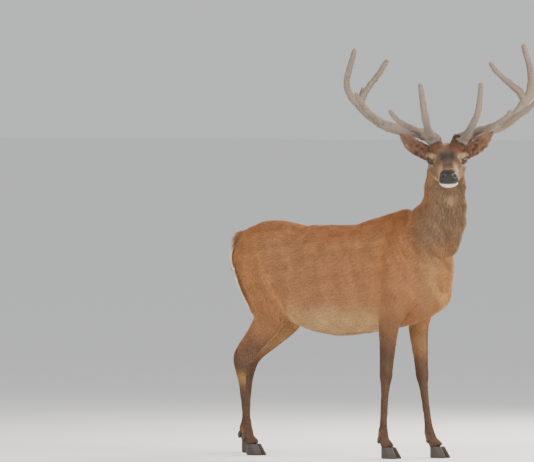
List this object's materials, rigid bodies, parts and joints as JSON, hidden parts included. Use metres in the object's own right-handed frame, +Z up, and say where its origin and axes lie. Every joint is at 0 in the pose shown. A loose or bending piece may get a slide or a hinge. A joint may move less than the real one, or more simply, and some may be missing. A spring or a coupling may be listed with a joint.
{
  "type": "red deer stag",
  "caption": "Life-size standing red deer stag, a still animal model with its head turned to its right and branched antlers in velvet.",
  "frame": {"origin": "middle of the animal's box on the floor plane, level with the hoof soles", "axes": "+Z up, +X towards the breast along the trunk, +Y to the animal's left"},
  "size_m": [1.6766, 0.7328, 1.9844],
  "materials": {
    "coat": "short summer coat, reddish brown back and flanks, grey-brown neck and legs, cream rump patch and pale belly",
    "velvet": "grey-brown antler velvet with a pale fuzzy edge",
    "hoof": "dark horn, slightly worn at the lower edge",
    "nose": "black moist skin with fine pebbled grain",
    "eye": "glossy dark brown eye with a horizontal pupil"
  },
  "bodies": {
    "root": {"trunk": "coat", "tail": "coat", "neck": "coat", "forearm_right": "coat", "front_cannon_right": "coat", "thigh_right": "coat", "hind_cannon_right": "coat", "forearm_left": "coat", "front_cannon_left": "coat", "thigh_left": "coat", "hind_cannon_left": "coat", "claw_fore_right_inner": "hoof", "dewclaw_fore_right_inner": "hoof", "claw_fore_right_outer": "hoof", "dewclaw_fore_right_outer": "hoof", "claw_fore_left_inner": "hoof", "dewclaw_fore_left_inner": "hoof", "claw_fore_left_outer": "hoof", "dewclaw_fore_left_outer": "hoof", "claw_hind_right_inner": "hoof", "dewclaw_hind_right_inner": "hoof", "claw_hind_right_outer": "hoof", "dewclaw_hind_right_outer": "hoof", "claw_hind_left_inner": "hoof", "dewclaw_hind_left_inner": "hoof", "claw_hind_left_outer": "hoof", "dewclaw_hind_left_outer": "hoof", "head": "coat", "nose": "nose", "eye_right": "eye", "ear_right": "coat", "antler_right_beam_lower": "velvet", "antler_right_beam_upper": "velvet", "antler_right_brow": "velvet", "antler_right_bez": "velvet", "antler_right_trez": "velvet", "antler_right_outer": "velvet", "antler_right_inner": "velvet", "antler_right_back": "velvet", "eye_left": "eye", "ear_left": "coat", "antler_left_beam_lower": "velvet", "antler_left_beam_upper": "velvet", "antler_left_brow": "velvet", "antler_left_bez": "velvet", "antler_left_trez": "velvet", "antler_left_outer": "velvet", "antler_left_inner": "velvet", "antler_left_back": "velvet"}
  },
  "joints": []
}
